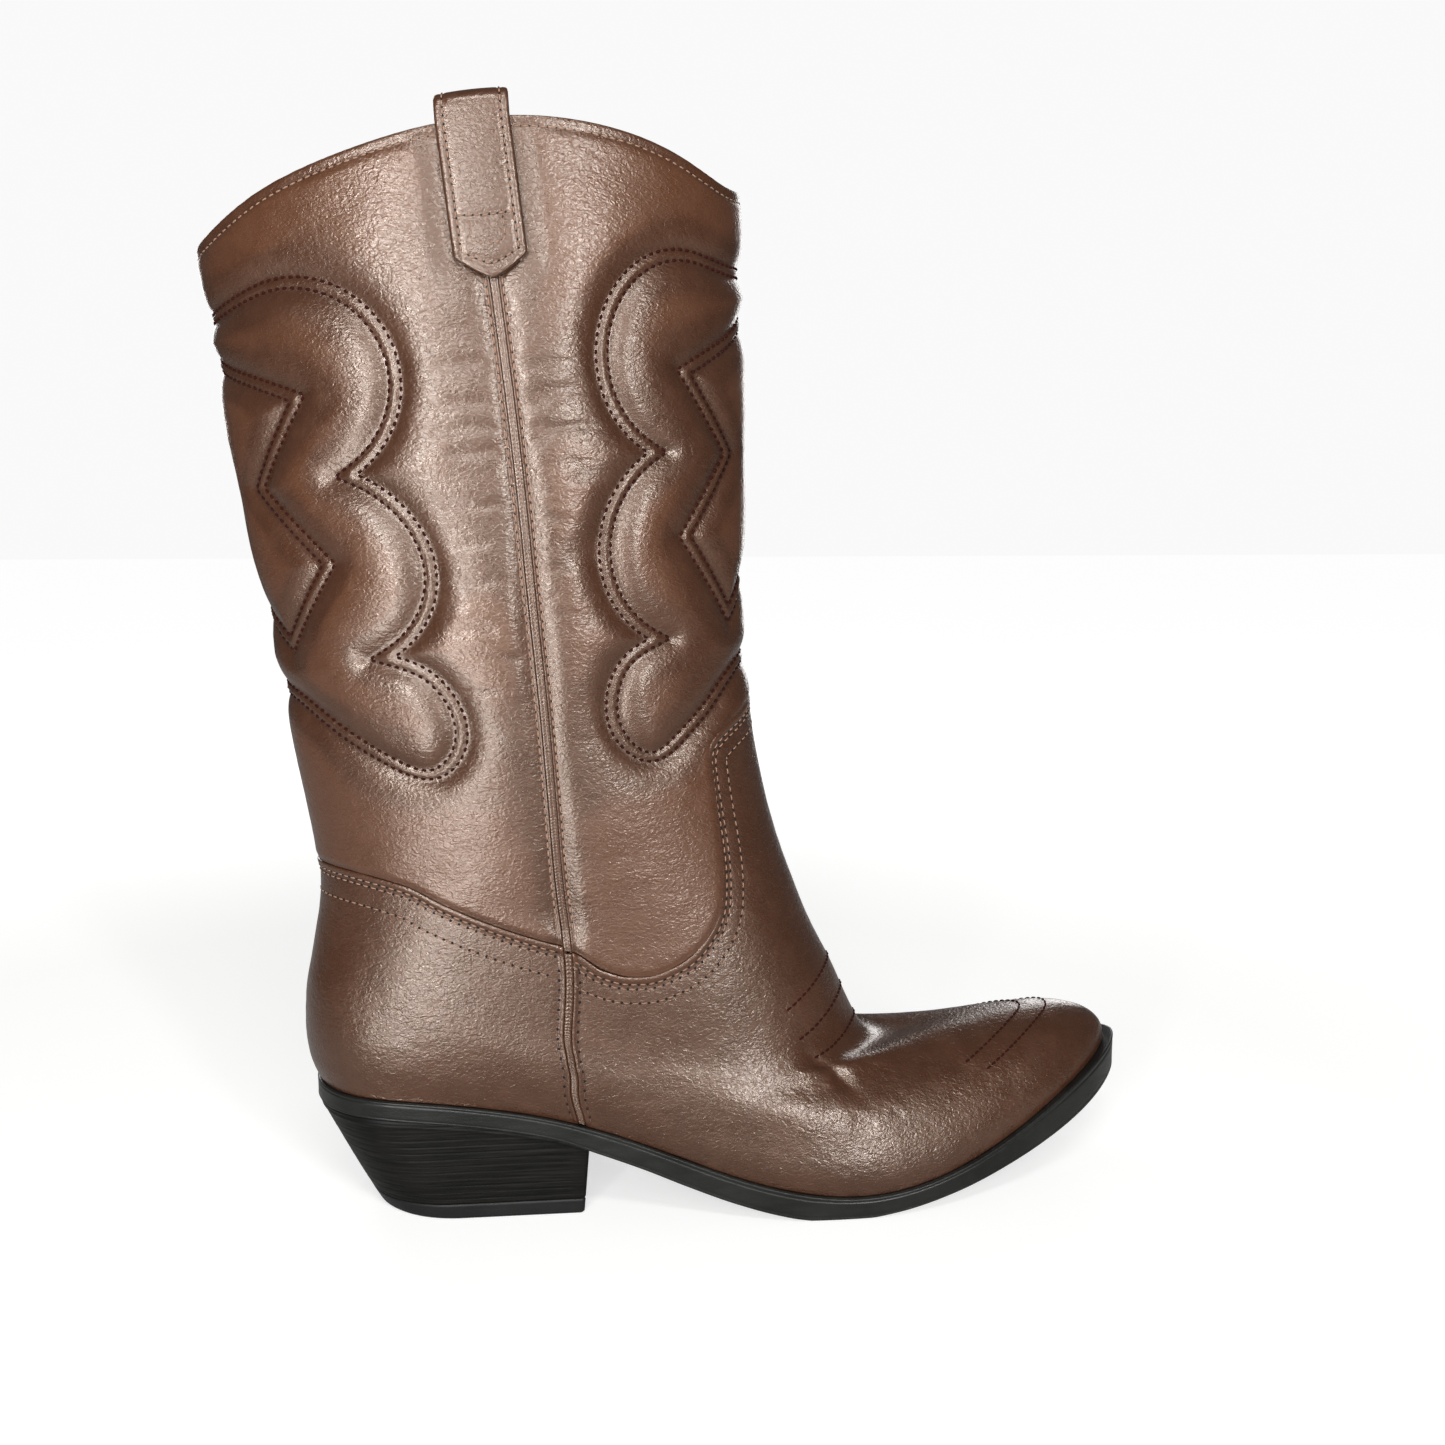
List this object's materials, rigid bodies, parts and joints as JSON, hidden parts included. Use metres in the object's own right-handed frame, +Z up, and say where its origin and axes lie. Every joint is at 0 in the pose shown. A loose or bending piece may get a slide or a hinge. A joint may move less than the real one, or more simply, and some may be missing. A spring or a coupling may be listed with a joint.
{
  "type": "cowboy boot",
  "caption": "Pull-on western boot with a scalloped shaft, plain scalloped quilt stitching, side pull straps, a narrow upturned toe and an underslung stacked heel.",
  "frame": {"origin": "on the floor, on the heel's bottom face, on the boot's centre line", "axes": "+X towards the toe, +Z up the shaft, -Y towards the outer (lateral) side; it is a right boot"},
  "size_m": [0.3079, 0.0867, 0.3511],
  "materials": {
    "upper_leather": "semi-gloss pebbled synthetic leather, warm bronze brown",
    "piping_leather": "semi-gloss brown strip",
    "strap_leather": "semi-gloss pebbled synthetic leather, warm bronze brown",
    "lining_leather": "matt smooth",
    "lining_fabric": "matt woven",
    "foam": "matt open foam",
    "sole_rubber": "satin moulded",
    "top_lift_rubber": "matt",
    "heel_stack": "satin, fine stacked lines",
    "stiffener_plastic": "matt",
    "fibre_board": "matt pressed fibre",
    "cork": "matt granulated cork",
    "steel": "plain"
  },
  "bodies": {
    "foot": {"outsole": "sole_rubber", "heel_block": "heel_stack", "heel_top_lift": "top_lift_rubber", "heel_screw": "steel", "heel_nails": "steel", "top_lift_pins": "steel", "shank": "steel", "shank_rivets": "steel", "insole_board": "fibre_board", "bottom_filler": "cork", "sock_lining": "lining_leather", "heel_counter_stiffener": "stiffener_plastic", "toe_puff": "stiffener_plastic", "vamp": "upper_leather", "counter_cover": "upper_leather", "vamp_lining": "lining_fabric", "heel_lining": "lining_fabric", "lateral_foot_piping": "piping_leather", "medial_foot_piping": "piping_leather"},
    "shaft": {"front_shaft_panel": "upper_leather", "back_shaft_panel": "upper_leather", "front_shaft_foam": "foam", "back_shaft_foam": "foam", "front_shaft_lining": "lining_fabric", "back_shaft_lining": "lining_fabric", "lateral_shaft_piping": "piping_leather", "medial_shaft_piping": "piping_leather"},
    "lateral_strap": {"lateral_pull_strap": "strap_leather"},
    "medial_strap": {"medial_pull_strap": "strap_leather"}
  },
  "joints": [
    {"name": "ankle_flex", "type": "hinge", "parent": "foot", "child": "shaft", "pos_m": [0.0235, 0, 0.093], "axis": [0, 1, 0], "range_deg": [-15, 20], "stiffness_Nm_per_rad": 4, "deforming": ["vamp", "counter_cover", "front_shaft_lining", "back_shaft_lining"]},
    {"name": "lateral_strap_swing", "type": "hinge", "parent": "shaft", "child": "lateral_strap", "pos_m": [0.002, -0.0385, 0.34], "axis": [1, 0, 0], "range_deg": [-20, 30], "stiffness_Nm_per_rad": 0.02, "deforming": ["lateral_pull_strap"]},
    {"name": "medial_strap_swing", "type": "hinge", "parent": "shaft", "child": "medial_strap", "pos_m": [0.002, 0.0385, 0.34], "axis": [-1, 0, 0], "range_deg": [-20, 30], "stiffness_Nm_per_rad": 0.02, "deforming": ["medial_pull_strap"]}
  ]
}
